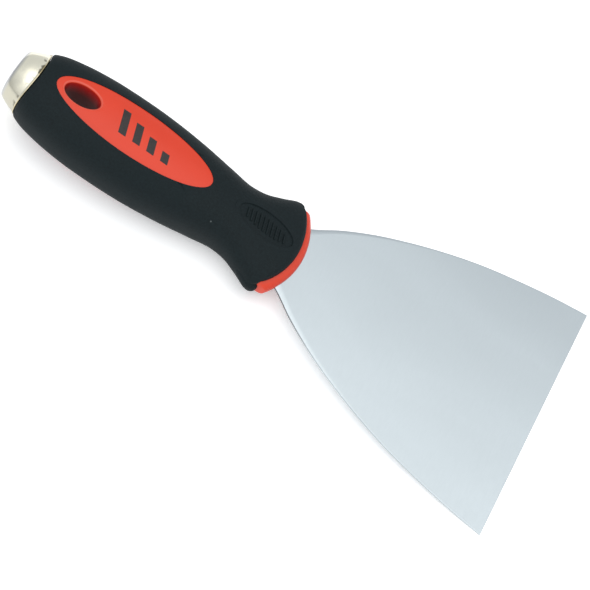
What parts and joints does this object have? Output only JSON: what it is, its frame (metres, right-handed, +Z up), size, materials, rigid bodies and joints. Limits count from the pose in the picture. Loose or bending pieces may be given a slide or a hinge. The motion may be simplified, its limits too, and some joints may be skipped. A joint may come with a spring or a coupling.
{
  "type": "flexible putty knife",
  "caption": "Flexible wide-blade putty knife with full tang, red hard core, black soft grip, oval hang hole and plated steel hammer cap.",
  "frame": {"origin": "centre of the tool's footprint on the bench it lies on, midway between strike face and working edge", "axes": "+X from the hammer cap to the working edge, +Y along the edge to the blade's left side, +Z up; the tool rests on its belly and its working edge, so its own axis dips 4.7 degrees towards +X"},
  "size_m": [0.2226, 0.1016, 0.0295],
  "materials": {
    "blade_steel": "ground and satin polished spring steel, bare",
    "red_plastic": "moulded hard plastic, satin gloss, orange red",
    "black_grip": "soft-touch thermoplastic rubber, matt, faintly blue black",
    "cap_plating": "bright nickel plating with a warm tone on steel",
    "rivet_steel": "plain mild steel"
  },
  "bodies": {
    "root": {"blade_and_tang": "blade_steel", "handle_core": "red_plastic", "soft_grip": "black_grip", "hammer_cap": "cap_plating", "cap_rivet_left": "rivet_steel", "cap_rivet_right": "rivet_steel"}
  },
  "joints": []
}
